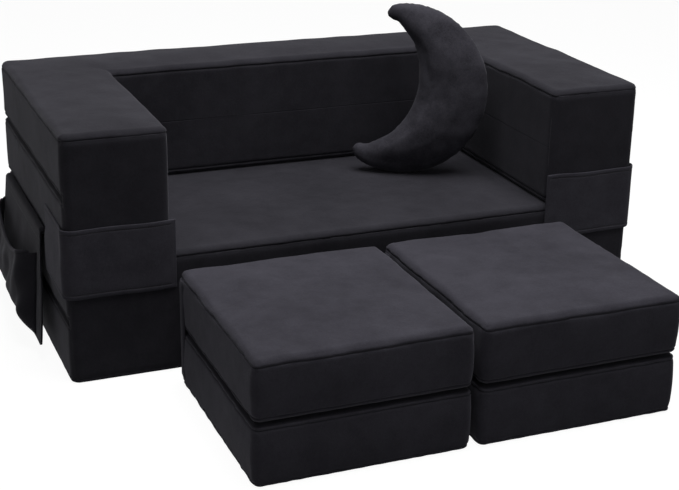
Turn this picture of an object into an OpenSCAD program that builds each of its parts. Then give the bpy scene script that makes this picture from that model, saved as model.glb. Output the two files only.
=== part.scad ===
// Folding foam sofa bed for two small seats, with a pair of folded mats and a moon pillow.
// Millimetres. +X runs along the sofa, +Y to its back, +Z up.
// The origin is on the floor under the middle of the sofa's plan.

/* [Sofa] */
// Width over both arms
sofa_w = 990; // [800:5:1300]
// Depth from front to back
sofa_d = 510; // [440:5:700]
// Width of one arm
arm_w = 165; // [120:5:220]
// Thickness of the back
back_w = 140; // [110:5:180]
// Height of one foam layer, of which the sofa has four
layer_h = 100; // [80:1:120]
// Slit between two layers that lie on each other
layer_gap = 0.3; // [0.2:0.1:1]
// Corner radius of a layer, seen from above
corner_r = 18; // [16:1:30]
// Corner radius where the back meets an arm
inner_corner_r = 4; // [3:1:12]
// Rounding of a layer's top and bottom edges
edge_r = 13; // [8:1:15]
// Rounding of the edges along a slit that shows
slit_r = 5; // [3:0.5:8]
// Crown of the arms and back
arm_crown = 3; // [1:0.5:3.5]
// Crown of the seat between the arms
seat_crown = 5; // [1:0.5:8]
// How far the lower layers' ends swell at the middle
end_swell = 4; // [0:0.5:4]

/* [Covers] */
// Thickness of a padded cover over its foam core
cover_t = 6; // [5.5:0.1:9]
// Play between a cover and its foam core
core_play = 0.3; // [0.2:0.1:0.5]
// Thickness of the bare cover fabric at a fold
fabric_t = 1.2; // [0.8:0.1:2]
// Distance of a fold's fabric from the edge of its layers
fold_margin = 12; // [8:1:20]
// Reach of the fabric of an arm's fold below the top layer
arm_fold_drop = 38; // [20:1:40]
// Reach of the base fold's fabric above the base
base_fold_rise = 38; // [20:1:40]

/* [Ottomans] */
// Width of one ottoman
ottoman_w = 325; // [260:5:360]
// Depth of one ottoman
ottoman_d = 350; // [280:5:420]
// Height of one of an ottoman's two mats
mat_h = 95; // [70:1:97]
// Gap between the two ottomans
ottoman_gap = 15; // [10:1:40]
// Gap between the ottomans and the sofa's front
ottoman_front_gap = 48; // [45:1:120]
// Crown of an ottoman
ottoman_crown = 4; // [1:0.5:6]

/* [Bands] */
// Height of a hook and loop band
band_h = 112; // [80:1:130]
// Thickness of a band
band_t = 2.4; // [1.6:0.1:3]
// How far a band's end stands past the inner face of the arm
band_overhang = 5; // [0:1:8]
// Length of a band along the arm's outer side
band_side_l = 120; // [60:5:150]
// Height of a band's middle over the slit that it covers
band_lift = -1; // [-10:1:10]
// Width of a patch of hooks or loops
patch_w = 46; // [20:1:70]
// Height of a patch of hooks or loops
patch_h = 30; // [15:1:34]
// Thickness of a patch of hooks or loops
patch_t = 1.2; // [0.8:0.1:1.5]
// Gap between hooks and loops
patch_gap = 0.4; // [0.3:0.1:0.6]

/* [Side pocket] */
// Length of the pocket's panel along the slit
pocket_l = 315; // [200:5:340]
// Drop of the pocket's panel below the slit
pocket_drop = 176; // [120:1:180]
// How much further forward the panel's lower edge starts
pocket_flare = 60; // [0:1:70]
// Distance from the sofa's front to the panel's front edge
pocket_set_back = 155; // [140:1:200]
// Radius of the hem that holds the panel in the slit
hem_r = 5.5; // [3:0.1:6]
// Thickness of the panel
panel_t = 3; // [2:0.1:4]
// Tilt of the panel away from the sofa, in degrees
pocket_tilt = 6; // [4:0.5:12]
// Height of the pouch sewn on the panel
pouch_h = 132; // [80:1:140]
// How far the pouch bulges
pouch_bulge = 28; // [10:1:40]
// Thickness of the pouch fabric
pouch_t = 2.2; // [1.6:0.1:3]
// Bare strip of the panel behind and under the pouch
pouch_margin = 5; // [2:1:20]
// Bare strip of the panel in front of the pouch's mouth
pouch_set_in = 24; // [6:1:40]
// How much further forward the pouch's lower corner is than its mouth
pouch_flare = 25; // [0:1:40]
// Radius of the binding round the pouch's mouth
rim_r = 2.4; // [1.6:0.1:3]
// Depth of the pouch's sag creases
crease = 3; // [0:0.5:5]

/* [Moon pillow] */
// Radius of the moon's outer edge
moon_r = 153; // [110:1:165]
// Radius of the moon's inner edge
moon_inner_r = 141.5; // [100:0.5:150]
// Distance between the centres of the two edges
moon_shift = 116; // [90:1:125]
// Thickness of the moon at its fattest
moon_t = 66; // [40:1:80]
// Wall of the pillow's cover, with its batting
moon_wall = 4; // [3:0.5:6]
// Rounding of the moon's tips
moon_tip_r = 12; // [8:0.5:14]
// Turn of the moon's face towards the open seat, in degrees
moon_turn = 28; // [10:1:35]
// Lean of the moon towards the back, in degrees
moon_lean = 6; // [0:0.5:7]
// Gap between the moon and the seat
rest_gap = 0.4; // [0.3:0.1:0.8]
// Gap between the moon and the arm
moon_arm_gap = 25; // [4:1:60]
// Distance of the moon's foot behind the middle of the seat layer
moon_foot_y = -18.5; // [-60:0.5:16]

/* [Zips] */
// Length of a sofa layer's zip
zip_l = 700; // [400:10:760]
// Length of an ottoman mat's zip
mat_zip_l = 240; // [150:10:250]
// Height of a zip's tape
tape_w = 10; // [8:0.5:14]
// Thickness of a zip's tape
tape_t = 1; // [0.6:0.1:1.2]
// Width of the closed coil
coil_w = 3; // [2:0.1:4]
// Thickness of the closed coil
coil_t = 1; // [0.6:0.1:1.4]
// Length of a zip slider
slider_l = 9; // [7:0.5:12]
// Width of a zip slider
slider_w = 7; // [6:0.5:8]
// Wall of a zip slider
slider_t = 0.9; // [0.7:0.1:1.2]
// Running gap of a zip slider round its coil
slider_gap = 0.2; // [0.1:0.05:0.3]
// Length of a zip's pull tab
pull_l = 22; // [12:1:30]
// Width of a zip's pull tab
pull_w = 4; // [3:0.5:6]

/* [Hidden] */

// Levels of the four layers, counted from the floor
base_z = 0;
seat_z = layer_h;
upper_low_z = 2 * layer_h;
upper_top_z = 3 * layer_h;
slab_h = layer_h - layer_gap;
half_w = sofa_w / 2;
half_d = sofa_d / 2;
arm_in = half_w - arm_w;
back_in = half_d - back_w;

// Counts of facets and rings
corner_steps = 4;
inner_corner_steps = 3;
edge_steps = 4;
// How far in a crown's rings lie, and how much of the crown they reach
arm_crown_shares = [[0.4, 1]];
mat_crown_shares = [[0.22, 0.6], [0.55, 1]];
seat_crown_shares = [[0, 0], [0.15, 0.5], [0.4, 0.85], [0.7, 1]];
swell_shares = [-0.7, -0.35, 0, 0.35, 0.7];

// Stack in front of an arm: loops, hooks, band
stack_t = 2 * patch_t + patch_gap + band_t;

// Inside of a zip slider, and the depth of the channel that a zip lies in
slider_cavity = coil_t + slider_gap;
zip_depth = tape_t + slider_cavity + slider_t;
// Length of the stop at each end of a coil
zip_end = 4;
// Width of tape that is sewn to the cover above and below the coil
tape_seam = 2;
// Overrun of cuts
cut_over = 1;

velvet = [0.24, 0.24, 0.26];
velvet_dark = [0.17, 0.17, 0.19];
foam_tint = [0.86, 0.84, 0.76];
fill_tint = [0.93, 0.93, 0.92];
tape_tint = [0.12, 0.12, 0.13];
pull_tint = [0.32, 0.32, 0.34];
hook_tint = [0.08, 0.08, 0.09];

// Outlines are lists of [point, inward direction, point on the middle line].
function turn(a) = [cos(a), sin(a)];
function convex(c, r, a, spine, n) =
    [for (i = [0:n]) let (u = turn(a + 90 * i / n)) [c + r * u, -u, spine]];
function hollow(c, r, a, spine, n) =
    [for (i = [0:n]) let (u = turn(a - 90 * i / n)) [c + r * u, u, spine]];
// Points along a straight end that swells by s
function swollen(x, d, side, s, spine) =
    [for (k = swell_shares) [[side * (x + s * (1 - k * k)), side * k * d], [-side, 0], spine]];

function box_outline(w, d, r, s, n) = let (x = w / 2, y = d / 2, mid = [0, 0]) concat(
    convex([-x + r, -y + r], r, 180, mid, n), convex([x - r, -y + r], r, 270, mid, n),
    s > 0 ? swollen(x, y, 1, s, mid) : [],
    convex([x - r, y - r], r, 0, mid, n), convex([-x + r, y - r], r, 90, mid, n),
    s > 0 ? swollen(x, y, -1, s, mid) : []);

function arms_outline() = let (
        r = corner_r, q = inner_corner_r, n = corner_steps, m = inner_corner_steps,
        front = -half_d + arm_w / 2, rear = half_d - back_w / 2, side = half_w - arm_w / 2,
        fl = [-side, front], bl = [-side, rear], fr = [side, front], br = [side, rear]) concat(
    convex([-half_w + r, -half_d + r], r, 180, fl, n), convex([-arm_in - r, -half_d + r], r, 270, fl, n),
    hollow([-arm_in + q, back_in - q], q, 180, bl, m), hollow([arm_in - q, back_in - q], q, 90, br, m),
    convex([arm_in + r, -half_d + r], r, 180, fr, n), convex([half_w - r, -half_d + r], r, 270, fr, n),
    convex([half_w - r, half_d - r], r, 0, br, n), convex([-half_w + r, half_d - r], r, 90, bl, n));

// Lids of the arms' outline: each arm, the back, and a fan round each inner corner
function arms_lids() = let (
        n = corner_steps, m = inner_corner_steps, c = 2 * (n + 1), d = c + m + 1,
        g = d + m + 1 + 2 * (n + 1), h = g + n + 1, gm = g + floor(n / 2), hm = h + floor(n / 2)) concat(
    [[for (i = [0:c]) i, h + n], [for (i = [d + m:g]) i], [c + m, d, g + n, h]],
    [for (i = [0:m - 1]) each [[c + i, c + i + 1, hm], [d + i, d + i + 1, gm]]],
    [[for (i = [hm:h + n]) i, c], [for (i = [h:hm]) i, c + m]],
    [[for (i = [gm:g + n]) i, d], [for (i = [g:gm]) i, d + m]]);

function inset(o, i) = [for (p = o) p[0] + i * p[1]];
function at_z(ring, z) = [for (p = ring) [p.x, p.y, z]];

// Rings of a block with round edges, of one radius below and one above, up to its crown
function block_rings(o, h, low_r, high_r) = concat(
    [for (k = [0:edge_steps]) let (a = 90 * k / edge_steps)
        at_z(inset(o, low_r * (1 - sin(a))), low_r * (1 - cos(a)))],
    [for (k = [edge_steps:-1:0]) let (a = 90 * k / edge_steps)
        at_z(inset(o, high_r * (1 - sin(a))), h - high_r * (1 - cos(a)))]);
// Rings that rise towards the outline's middle line
function crown_rings(o, h, r, c, shares) = [for (s = shares)
    [for (p = o) let (q = p[0] + r * p[1], m = q + s[0] * (p[2] - q)) [m.x, m.y, h + c * s[1]]]];

// A closed solid through rings that hold equally many points. The lids are lists of the points
// round each convex piece of an end, the whole ring where none are given.
module stack(rings, lids = []) {
    n = len(rings[0]);
    last = len(rings) - 1;
    ends = len(lids) > 0 ? lids : [[for (i = [0:n - 1]) i]];
    polyhedron(points = [for (r = rings) each r], faces = concat(ends,
        [for (k = [0:last - 1]) for (i = [0:n - 1]) let (a = k * n + i, b = k * n + (i + 1) % n) each
            [[a, b + n, b], [a, a + n, b + n]]],
        [for (lid = ends) [for (i = [len(lid) - 1:-1:0]) last * n + lid[i]]]), convexity = 6);
}

// A block with a slit over it, or under it where it has a crown
module block(w, d, h, crown = 0, swell = 0) {
    o = box_outline(w, d, corner_r, swell, corner_steps);
    stack(crown > 0
        ? concat(block_rings(o, h, slit_r, edge_r), crown_rings(o, h, edge_r, crown, mat_crown_shares))
        : block_rings(o, h, edge_r, slit_r));
}

// Foam cores have round upright corners and plain edges
module round_box(w, d, h, r) {
    translate([-w / 2 + r, -d / 2, 0]) cube([w - 2 * r, d, h]);
    translate([-w / 2, -d / 2 + r, 0]) cube([w, d - 2 * r, h]);
    for (x = [-1, 1]) for (y = [-1, 1])
        translate([x * (w / 2 - r), y * (d / 2 - r), 0]) cylinder(r = r, h = h, $fn = 32);
}

module core(w, d, h, shrink) {
    translate([0, 0, shrink])
        round_box(w - 2 * shrink, d - 2 * shrink, h - 2 * shrink, corner_r - shrink);
}

module arms_core(shrink) {
    notch_w = 2 * (arm_in + shrink);
    difference() {
        core(sofa_w, sofa_d, slab_h, shrink);
        translate([-notch_w / 2, -half_d, 0])
            cube([notch_w, back_in + half_d + shrink, slab_h]);
    }
}

// A zip runs along X on a face that looks to +Y, in a channel sunk into it.
// Behind the tape the cover is open to its foam core.
module zip_channel(l) {
    translate([-l / 2 - core_play, -zip_depth, -tape_w / 2 - core_play])
        cube([l + 2 * core_play, zip_depth + cut_over, tape_w + 2 * core_play]);
    translate([-l / 2 + zip_end, -cover_t, -tape_w / 2 + tape_seam])
        cube([l - 2 * zip_end, cover_t, tape_w - 2 * tape_seam]);
}

module zip_tape(l) {
    color(tape_tint) {
        translate([-l / 2, -zip_depth, -tape_w / 2]) cube([l, tape_t, tape_w]);
        translate([-l / 2 + zip_end, tape_t - zip_depth, -coil_w / 2])
            cube([l - 2 * zip_end, coil_t, coil_w]);
        for (x = [-l / 2, l / 2 - zip_end])
            translate([x, tape_t - zip_depth, -slider_w / 2]) cube([zip_end, coil_t, slider_w]);
    }
}

module zip_slider(l) {
    color(pull_tint) translate([-l / 2 + zip_end + slider_gap, tape_t - zip_depth, 0]) {
        difference() {
            translate([0, slider_gap, -slider_w / 2])
                cube([slider_l, slider_cavity + slider_t - slider_gap, slider_w]);
            translate([-cut_over, 0, -coil_w / 2 - slider_gap])
                cube([slider_l + 2 * cut_over, slider_cavity, coil_w + 2 * slider_gap]);
        }
        translate([0, slider_cavity + slider_t, -pull_w / 2]) difference() {
            cube([pull_l, slider_t, pull_w]);
            translate([pull_l - pull_w / 2, slider_t / 2, pull_w / 2])
                rotate([90, 0, 0])
                    cylinder(r = pull_w / 4, h = slider_t + 2 * cut_over, center = true, $fn = 16);
        }
    }
}

// Moves what stands on the plane y = 0 to the back face of the layer at height z
module on_back(z) translate([0, half_d, z + slab_h / 2]) children();

// The four layers of the sofa
module arms_cover(crown) {
    o = arms_outline();
    difference() {
        stack(crown > 0
            ? concat(block_rings(o, slab_h, slit_r, edge_r),
                crown_rings(o, slab_h, edge_r, crown, arm_crown_shares))
            : block_rings(o, slab_h, edge_r, slit_r), arms_lids());
        arms_core(cover_t - core_play);
        on_back(0) zip_channel(zip_l);
    }
}

module upper_top_cover() color(velvet) translate([0, 0, upper_top_z]) arms_cover(arm_crown);
module upper_top_foam() color(foam_tint) translate([0, 0, upper_top_z]) arms_core(cover_t);
module upper_top_zip() on_back(upper_top_z) zip_tape(zip_l);
module upper_top_slider() on_back(upper_top_z) zip_slider(zip_l);

module upper_low_cover() color(velvet) translate([0, 0, upper_low_z]) arms_cover(0);
module upper_low_foam() color(foam_tint) translate([0, 0, upper_low_z]) arms_core(cover_t);
module upper_low_zip() on_back(upper_low_z) zip_tape(zip_l);
module upper_low_slider() on_back(upper_low_z) zip_slider(zip_l);

// The seat rises only where no arm or back lies on it
seat_edge = 3;
seat_open_w = 2 * (arm_in - 2 * seat_edge);
seat_front_y = -half_d + edge_r + seat_edge;
seat_open_d = back_in - seat_edge - seat_front_y;
seat_mid = [0, seat_front_y + seat_open_d / 2];
function seat_zone() = let (
        o = box_outline(seat_open_w, seat_open_d, inner_corner_r, seat_edge, corner_steps))
    [for (p = o) [p[0] + seat_mid, p[1], p[2] + seat_mid]];

module seat_cover() {
    o = box_outline(sofa_w, sofa_d, corner_r, end_swell, corner_steps);
    color(velvet) translate([0, 0, seat_z]) difference() {
        stack(concat(block_rings(o, slab_h, slit_r, edge_r),
            crown_rings(seat_zone(), slab_h, 0, seat_crown, seat_crown_shares)));
        core(sofa_w, sofa_d, slab_h, cover_t - core_play);
        on_back(0) zip_channel(zip_l);
    }
}
module seat_foam() color(foam_tint) translate([0, 0, seat_z]) core(sofa_w, sofa_d, slab_h, cover_t);
module seat_zip() on_back(seat_z) zip_tape(zip_l);
module seat_slider() on_back(seat_z) zip_slider(zip_l);

module base_cover() {
    color(velvet) translate([0, 0, base_z]) difference() {
        block(sofa_w, sofa_d, slab_h, 0, end_swell);
        core(sofa_w, sofa_d, slab_h, cover_t - core_play);
        on_back(0) zip_channel(zip_l);
    }
}
module base_foam() color(foam_tint) translate([0, 0, base_z]) core(sofa_w, sofa_d, slab_h, cover_t);
module base_zip() on_back(base_z) zip_tape(zip_l);
module base_slider() on_back(base_z) zip_slider(zip_l);

// Fold fabric joins two layers at the front, where the slit doesn't show
fold_play = 0.2;
module front_fabric(x0, x1, z0, z1)
    translate([x0, -half_d - fold_play - fabric_t, z0]) cube([x1 - x0, fabric_t, z1 - z0]);
module arm_fold() front_fabric(-half_w + corner_r, -arm_in - corner_r,
    upper_top_z - arm_fold_drop, upper_top_z + slab_h - fold_margin);
module left_arm_fold() color(velvet_dark) arm_fold();
module right_arm_fold() color(velvet_dark) mirror([1, 0, 0]) arm_fold();
module base_fold() color(velvet_dark) front_fabric(-half_w + corner_r, half_w - corner_r,
    base_z + fold_margin, seat_z + base_fold_rise);

// Bands go round the arms' front corners, over the slit between arm and seat
band_z = upper_low_z + band_lift - band_h / 2;
band_in = stack_t - band_t;
// The band's side runs clear of the swollen end of the seat layer
band_side_out = end_swell + fold_play;
band_corner_x = half_w - corner_r;
band_flap_end = arm_in - band_overhang;
patch_x = arm_in + (arm_w - corner_r) / 2 - patch_w;
patch_z = seat_z + slab_h - edge_r - patch_h - fold_play;
sewn_z = upper_low_z + edge_r;
flap_gap = 0.4;

// A quarter of an oval post, from the side of the arm to its front
quarter_steps = 8;
module quarter_post(a, b, h) linear_extrude(height = h) polygon(concat([[0, 0]],
    [for (i = [0:quarter_steps]) let (u = 90 * i / quarter_steps) [-a * cos(u), -b * sin(u)]]));

module band_side() {
    difference() {
        union() {
            translate([-half_w - band_side_out - band_t, -half_d + corner_r, band_z])
                cube([band_t, band_side_l, band_h]);
            translate([-half_w - band_side_out - band_t / 2, -half_d + corner_r, sewn_z])
                cube([band_side_out + band_t / 2, band_side_l, band_z + band_h - sewn_z]);
            translate([-band_corner_x, -half_d + corner_r, band_z])
                quarter_post(corner_r + band_side_out + band_t, corner_r + band_in + band_t, band_h);
        }
        translate([-band_corner_x, -half_d + corner_r, band_z - cut_over])
            quarter_post(corner_r + band_side_out, corner_r + band_in, band_h + 2 * cut_over);
        translate([-half_w, -half_d, upper_low_z]) cube([arm_w, band_side_l + corner_r, layer_h]);
    }
}

module band_flap() translate([-band_corner_x + flap_gap, -half_d - stack_t, band_z])
    cube([band_corner_x - flap_gap - band_flap_end, band_t, band_h]);
module band_hooks() translate([-patch_x - patch_w, -half_d - band_in, patch_z])
    cube([patch_w, patch_t, patch_h]);
module band_loops() translate([-patch_x - patch_w, -half_d - patch_t, patch_z])
    cube([patch_w, patch_t, patch_h]);

module left_band_side() color(velvet_dark) band_side();
module left_band_flap() color(velvet_dark) band_flap();
module left_band_hooks() color(hook_tint) band_hooks();
module left_band_loops() color(hook_tint) band_loops();
module right_band_side() color(velvet_dark) mirror([1, 0, 0]) band_side();
module right_band_flap() color(velvet_dark) mirror([1, 0, 0]) band_flap();
module right_band_hooks() color(hook_tint) mirror([1, 0, 0]) band_hooks();
module right_band_loops() color(hook_tint) mirror([1, 0, 0]) band_loops();

// The pocket hangs from a hem in the slit on the left, tilted about the hem's axis
// The hem clears the seat layer's swollen end
hem_x = half_w + end_swell - edge_r
    + sqrt(pow(edge_r + hem_r + rest_gap, 2) - pow(edge_r + layer_gap / 2, 2));
hem_y = -half_d + pocket_set_back;
panel_out = hem_r - panel_t;
module on_hem() translate([-hem_x, hem_y, upper_low_z - layer_gap / 2])
    rotate([0, pocket_tilt, 0]) children();

module pocket_panel() color(velvet_dark) on_hem() {
    translate([-panel_out - panel_t, 0, 0]) rotate([0, 90, 0]) linear_extrude(height = panel_t)
        polygon([[0, 0], [0, pocket_l], [pocket_drop, pocket_l], [pocket_drop, -pocket_flare]]);
    rotate([-90, 0, 0]) cylinder(r = hem_r, h = pocket_l, $fn = 32);
}

// The pouch is a bulging skin, sewn down at both sides and below, and open above
pouch_cols = 14;
pouch_rows = 9;
side_hold_share = 0.12;
mouth_drop_share = 0.24;
// Height at which the pouch has swollen to its full bulge
belly_share = 0.3;
// Below 1 the pouch swells faster above its lower edge
belly_power = 0.6;
// How much less it bulges at its back end
back_fall_share = 0.5;
crease_count = 2.5;
function hold(u) = let (e = min(u, 1 - u) / side_hold_share) e >= 1 ? 1 : sin(90 * max(e, 0));
function bulge_share(u, v) = hold(u) * pow(sin(90 * min(1, v / belly_share)), belly_power)
    * (1 - back_fall_share * u);
function pouch_out(u, v) = pouch_bulge * bulge_share(u, v)
    + crease * hold(u) * sin(180 * v) * sin(360 * crease_count * (u + v / 2));
// The pouch's front edge is set in from the panel's at the mouth, and flares by itself
pouch_low = pouch_margin - pocket_drop;
pouch_front_y = pouch_set_in - pocket_flare * (1 - (pouch_margin + pouch_h) / pocket_drop);
function pouch_y(u, v) = let (a = pouch_front_y - pouch_flare * (1 - v))
    a + u * (pocket_l - pouch_margin - a);
function pouch_z(u, v) = pouch_low + v * pouch_h * (1 - mouth_drop_share * sin(180 * u) * v);
function pouch_point(u, v, skin) =
    [-panel_out - panel_t - max(0, pouch_out(u, v)) - skin, pouch_y(u, v), pouch_z(u, v)];
function pouch_grid(skin) = [for (j = [0:pouch_rows]) for (i = [0:pouch_cols])
    pouch_point(i / pouch_cols, j / pouch_rows, skin)];

// A sheet with thickness, through two grids of points that match
module skin(inner, outer, cols, rows) {
    n = (cols + 1) * (rows + 1);
    function id(i, j, s) = s * n + j * (cols + 1) + i;
    // Two triangles over four corners in order
    function quad(a, b, c, d) = [[a, c, b], [a, d, c]];
    polyhedron(points = concat(inner, outer), faces = concat(
        [for (j = [0:rows - 1]) for (i = [0:cols - 1]) each concat(
            quad(id(i, j, 0), id(i + 1, j, 0), id(i + 1, j + 1, 0), id(i, j + 1, 0)),
            quad(id(i, j, 1), id(i, j + 1, 1), id(i + 1, j + 1, 1), id(i + 1, j, 1)))],
        [for (i = [0:cols - 1]) each concat(
            quad(id(i, 0, 0), id(i, 0, 1), id(i + 1, 0, 1), id(i + 1, 0, 0)),
            quad(id(i, rows, 0), id(i + 1, rows, 0), id(i + 1, rows, 1), id(i, rows, 1)))],
        [for (j = [0:rows - 1]) each concat(
            quad(id(0, j, 0), id(0, j + 1, 0), id(0, j + 1, 1), id(0, j, 1)),
            quad(id(cols, j, 0), id(cols, j, 1), id(cols, j + 1, 1), id(cols, j + 1, 0)))]),
        convexity = 8);
}

module pocket_pouch() color(velvet_dark) on_hem()
    skin(pouch_grid(0), pouch_grid(pouch_t), pouch_cols, pouch_rows);

// Binding round the mouth: a bead of six sides on the pouch's upper edge
bead_sides = 6;
function bead(i) = let (p = pouch_point(i / pouch_cols, 1, pouch_t / 2)) [for (k = [0:bead_sides - 1])
    let (a = 360 * k / bead_sides) [p.x + rim_r * cos(a), p.y, p.z + rim_r * (1 + sin(a))]];
module pocket_binding() color(velvet) on_hem() translate([0, 0, layer_gap])
    stack([for (i = [pouch_cols - 1:-1:1]) bead(i)]);

// The moon lies between two arcs and is thickest along its middle
moon_rings = 26;
moon_sides = 14;
// Half the angle between the tips, seen from the centre of the outer edge
moon_reach = 180 - acos((pow(moon_r, 2) + pow(moon_shift, 2) - pow(moon_inner_r, 2))
    / (2 * moon_r * moon_shift));
// Distance of the inner edge from the outer edge's centre, at an angle from the fat side
function inner_edge(a) = -moon_shift * cos(a) + sqrt(pow(moon_inner_r, 2) - pow(moon_shift * sin(a), 2));
function moon_half(a) = (moon_r - inner_edge(a)) / 2;
moon_fat = moon_half(0);
// Share of the reach at which the rounded tips end
tip_pull_share = 0.97;
// Size of the last ring, as a share of the moon's there
moon_tip_share = 0.45;
// The higher, the later the tips round off
tip_power = 10;
// The thickness thins towards the tips slower than the width
taper_power = 0.55;
// Below 1 the cross-section is fuller than an oval
lens_power = 0.85;
// The moon's cross-section at a share t of its length, drawn in by less, as its ends are
function moon_ring(t, less) = let (
        a = (moon_reach * tip_pull_share - less / moon_r * 180 / PI) * (2 * t - 1),
        end = max(sqrt(max(0, 1 - pow(abs(2 * t - 1), tip_power))), moon_tip_share),
        half = max(moon_half(a), moon_tip_r),
        w = half * end - less,
        h = moon_t / 2 * pow(half / moon_fat, taper_power) * end - less)
    [for (k = [0:moon_sides - 1]) let (b = 360 * k / moon_sides, rise = sin(b),
        r = moon_r - half + w * cos(b))
        [r * cos(a), h * pow(abs(rise), lens_power) * sign(rise), r * sin(a)]];
module moon(less) stack([for (i = [0:moon_rings]) moon_ring(i / moon_rings, less)]);

// The fat side looks down and to the right
moon_roll = 12.5;
// The turned moon reaches this much further towards the arm than its outer edge
moon_side_out = 2.1;
// The seat falls off by this much from its crown's top to where the moon stands
moon_settle = 1.1;
moon_x = arm_in - moon_arm_gap - moon_r * cos(moon_turn) - moon_side_out;
moon_y = moon_foot_y + moon_r * sin(moon_lean);
moon_z = seat_z + slab_h + seat_crown - moon_settle + rest_gap + moon_r * cos(moon_lean);
module moon_place() translate([moon_x, moon_y, moon_z]) rotate([0, 0, -moon_turn]) rotate([-moon_lean, 0, 0])
    rotate([0, moon_roll, 0]) children();

module moon_pillow_cover() color(velvet) moon_place() difference() {
    moon(0);
    moon(moon_wall - core_play);
}
module moon_pillow_fill() color(fill_tint) moon_place() moon(moon_wall);

// Ottomans: two mats each, folded shut about a line behind them
ottoman_x = (ottoman_gap + ottoman_w) / 2;
ottoman_y = -half_d - ottoman_front_gap - ottoman_d / 2;
mat_solid_h = mat_h - layer_gap;
module at_ottoman(side, level) translate([side * ottoman_x, ottoman_y, level * mat_h]) children();
module on_mat_side() translate([ottoman_w / 2, 0, mat_solid_h / 2]) rotate([0, 0, -90]) children();
module mat_cover(crown) color(velvet) difference() {
    block(ottoman_w, ottoman_d, mat_solid_h, crown);
    core(ottoman_w, ottoman_d, mat_solid_h, cover_t - core_play);
    on_mat_side() zip_channel(mat_zip_l);
}
module mat_foam() color(foam_tint) core(ottoman_w, ottoman_d, mat_solid_h, cover_t);
module ottoman_fold() color(velvet_dark)
    translate([-ottoman_w / 2 + corner_r, ottoman_d / 2 + fold_play, fold_margin])
        cube([ottoman_w - 2 * corner_r, fabric_t, mat_h + mat_solid_h - 2 * fold_margin]);

module left_ottoman_top_cover() at_ottoman(-1, 1) mat_cover(ottoman_crown);
module left_ottoman_top_foam() at_ottoman(-1, 1) mat_foam();
module left_ottoman_top_zip() at_ottoman(-1, 1) on_mat_side() zip_tape(mat_zip_l);
module left_ottoman_top_slider() at_ottoman(-1, 1) on_mat_side() zip_slider(mat_zip_l);
module left_ottoman_low_cover() at_ottoman(-1, 0) mat_cover(0);
module left_ottoman_low_foam() at_ottoman(-1, 0) mat_foam();
module left_ottoman_low_zip() at_ottoman(-1, 0) on_mat_side() zip_tape(mat_zip_l);
module left_ottoman_low_slider() at_ottoman(-1, 0) on_mat_side() zip_slider(mat_zip_l);
module left_ottoman_fold() at_ottoman(-1, 0) ottoman_fold();
module right_ottoman_top_cover() at_ottoman(1, 1) mat_cover(ottoman_crown);
module right_ottoman_top_foam() at_ottoman(1, 1) mat_foam();
module right_ottoman_top_zip() at_ottoman(1, 1) on_mat_side() zip_tape(mat_zip_l);
module right_ottoman_top_slider() at_ottoman(1, 1) on_mat_side() zip_slider(mat_zip_l);
module right_ottoman_low_cover() at_ottoman(1, 0) mat_cover(0);
module right_ottoman_low_foam() at_ottoman(1, 0) mat_foam();
module right_ottoman_low_zip() at_ottoman(1, 0) on_mat_side() zip_tape(mat_zip_l);
module right_ottoman_low_slider() at_ottoman(1, 0) on_mat_side() zip_slider(mat_zip_l);
module right_ottoman_fold() at_ottoman(1, 0) ottoman_fold();

upper_top_cover();
upper_top_foam();
upper_top_zip();
upper_top_slider();
upper_low_cover();
upper_low_foam();
upper_low_zip();
upper_low_slider();
seat_cover();
seat_foam();
seat_zip();
seat_slider();
base_cover();
base_foam();
base_zip();
base_slider();
left_arm_fold();
right_arm_fold();
base_fold();
left_band_side();
left_band_flap();
left_band_hooks();
left_band_loops();
right_band_side();
right_band_flap();
right_band_hooks();
right_band_loops();
pocket_panel();
pocket_pouch();
pocket_binding();
moon_pillow_cover();
moon_pillow_fill();
left_ottoman_top_cover();
left_ottoman_top_foam();
left_ottoman_top_zip();
left_ottoman_top_slider();
left_ottoman_low_cover();
left_ottoman_low_foam();
left_ottoman_low_zip();
left_ottoman_low_slider();
left_ottoman_fold();
right_ottoman_top_cover();
right_ottoman_top_foam();
right_ottoman_top_zip();
right_ottoman_top_slider();
right_ottoman_low_cover();
right_ottoman_low_foam();
right_ottoman_low_zip();
right_ottoman_low_slider();
right_ottoman_fold();
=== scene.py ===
import math

import bmesh
import bpy
import numpy as np
from mathutils import Matrix, Vector


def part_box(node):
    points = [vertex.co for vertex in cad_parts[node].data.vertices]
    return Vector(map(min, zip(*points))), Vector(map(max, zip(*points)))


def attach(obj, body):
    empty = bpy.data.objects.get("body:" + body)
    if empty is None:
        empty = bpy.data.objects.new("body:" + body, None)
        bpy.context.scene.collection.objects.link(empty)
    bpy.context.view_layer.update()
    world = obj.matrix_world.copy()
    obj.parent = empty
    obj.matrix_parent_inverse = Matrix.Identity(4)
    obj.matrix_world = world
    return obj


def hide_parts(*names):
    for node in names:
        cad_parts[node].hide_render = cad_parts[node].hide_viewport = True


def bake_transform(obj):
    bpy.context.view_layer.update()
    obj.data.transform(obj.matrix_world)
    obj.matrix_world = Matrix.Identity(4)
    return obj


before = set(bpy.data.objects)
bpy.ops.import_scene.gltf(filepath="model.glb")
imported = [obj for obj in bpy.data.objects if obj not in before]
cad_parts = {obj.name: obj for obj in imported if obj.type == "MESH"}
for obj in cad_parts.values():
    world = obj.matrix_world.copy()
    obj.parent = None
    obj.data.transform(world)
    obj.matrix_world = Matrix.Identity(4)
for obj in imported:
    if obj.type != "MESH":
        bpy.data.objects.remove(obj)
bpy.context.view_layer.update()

# Sizes below are in millimetres, as in the part's source. A piece's mesh is in metres.
MM = 0.001
HALF_W, HALF_D = 495.0, 255.0
ARM_IN, BACK_IN = 330.0, 115.0
LAYER_H, LAYER_GAP = 100.0, 0.3
SLAB_H = LAYER_H - LAYER_GAP
MAT_W, MAT_D, MAT_H = 325.0, 350.0, 95.0
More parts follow.
